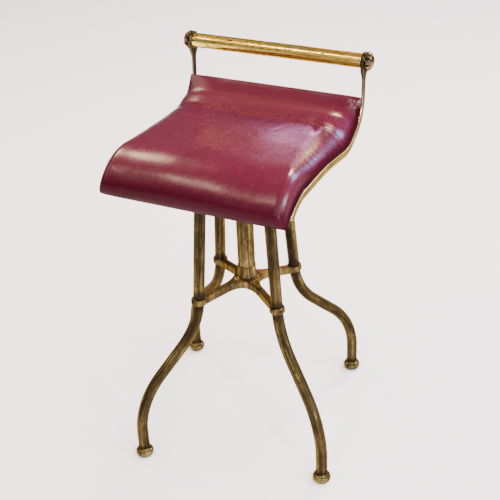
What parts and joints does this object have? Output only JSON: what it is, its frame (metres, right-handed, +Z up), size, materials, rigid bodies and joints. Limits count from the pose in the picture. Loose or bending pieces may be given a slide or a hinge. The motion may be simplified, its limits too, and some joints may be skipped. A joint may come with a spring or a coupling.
{
  "type": "revolving piano stool",
  "caption": "Revolving brass piano stool: bent tube legs round a screw column, and an upholstered seat that winds up and down between bent side straps with a low back rail.",
  "frame": {"origin": "on the floor under the column, at the middle of the four feet", "axes": "+Z up along the column, the seat's front towards -Y, so +X is at the right in a front view; the base is turned 11.34 degrees anticlockwise seen from above"},
  "size_m": [0.3944, 0.3944, 0.6488],
  "materials": {
    "aged_brass": "aged brown brass with long streaks, satin",
    "pale_brass": "rubbed bright brass, scratched",
    "dark_brass": "tarnished dark brass",
    "iron": "dull iron",
    "steel": "plain steel",
    "seat_leather": "glossy oxblood leather",
    "washer_leather": "waxed leather",
    "plywood": "bare bent plywood",
    "beech": "bare beech"
  },
  "bodies": {
    "base": {"leg_back_right": "aged_brass", "foot_back_right": "aged_brass", "collar_pin_back_right": "dark_brass", "socket_screw_back_right": "steel", "leg_back_left": "aged_brass", "foot_back_left": "aged_brass", "collar_pin_back_left": "dark_brass", "socket_screw_back_left": "steel", "leg_front_left": "aged_brass", "foot_front_left": "aged_brass", "collar_pin_front_left": "dark_brass", "socket_screw_front_left": "steel", "leg_front_right": "aged_brass", "foot_front_right": "aged_brass", "collar_pin_front_right": "dark_brass", "socket_screw_front_right": "steel", "lower_spider": "aged_brass", "column_tube": "aged_brass", "column_ferrule": "aged_brass", "column_cap": "dark_brass", "crown_casting": "dark_brass", "lift_nut": "pale_brass"},
    "guide": {"guide_bush": "pale_brass"},
    "seat": {"lift_screw": "steel", "guide_nut": "steel", "rest_washer": "washer_leather", "seat_plate": "iron", "screw_pin": "steel", "plate_screw_1": "steel", "plate_screw_2": "steel", "plate_screw_3": "steel", "plate_screw_4": "steel", "seat_block": "beech", "seat_board": "plywood", "cross_bar_front": "iron", "cross_bar_back": "iron", "bar_screw_front_left": "steel", "bar_screw_front_right": "steel", "bar_screw_back_left": "steel", "bar_screw_back_right": "steel", "seat_cushion": "seat_leather", "back_lining": "seat_leather", "strap_left": "pale_brass", "strap_right": "pale_brass", "rail_tube": "pale_brass", "rail_rod": "steel", "knob_left": "dark_brass", "knob_right": "dark_brass"}
  },
  "joints": [
    {"name": "seat_rise", "type": "slide", "parent": "base", "child": "guide", "axis": [0, 0, 1], "range_m": [0, 0.096]},
    {"name": "seat_turn", "type": "hinge", "parent": "guide", "child": "seat", "pos_m": [0, 0, 0.4], "axis": [0, 0, 1], "range_deg": [0, 4320]}
  ],
  "couplings": [
    {"joint": "seat_rise", "follows": "seat_turn", "m_per_rad": 0.0012732}
  ]
}
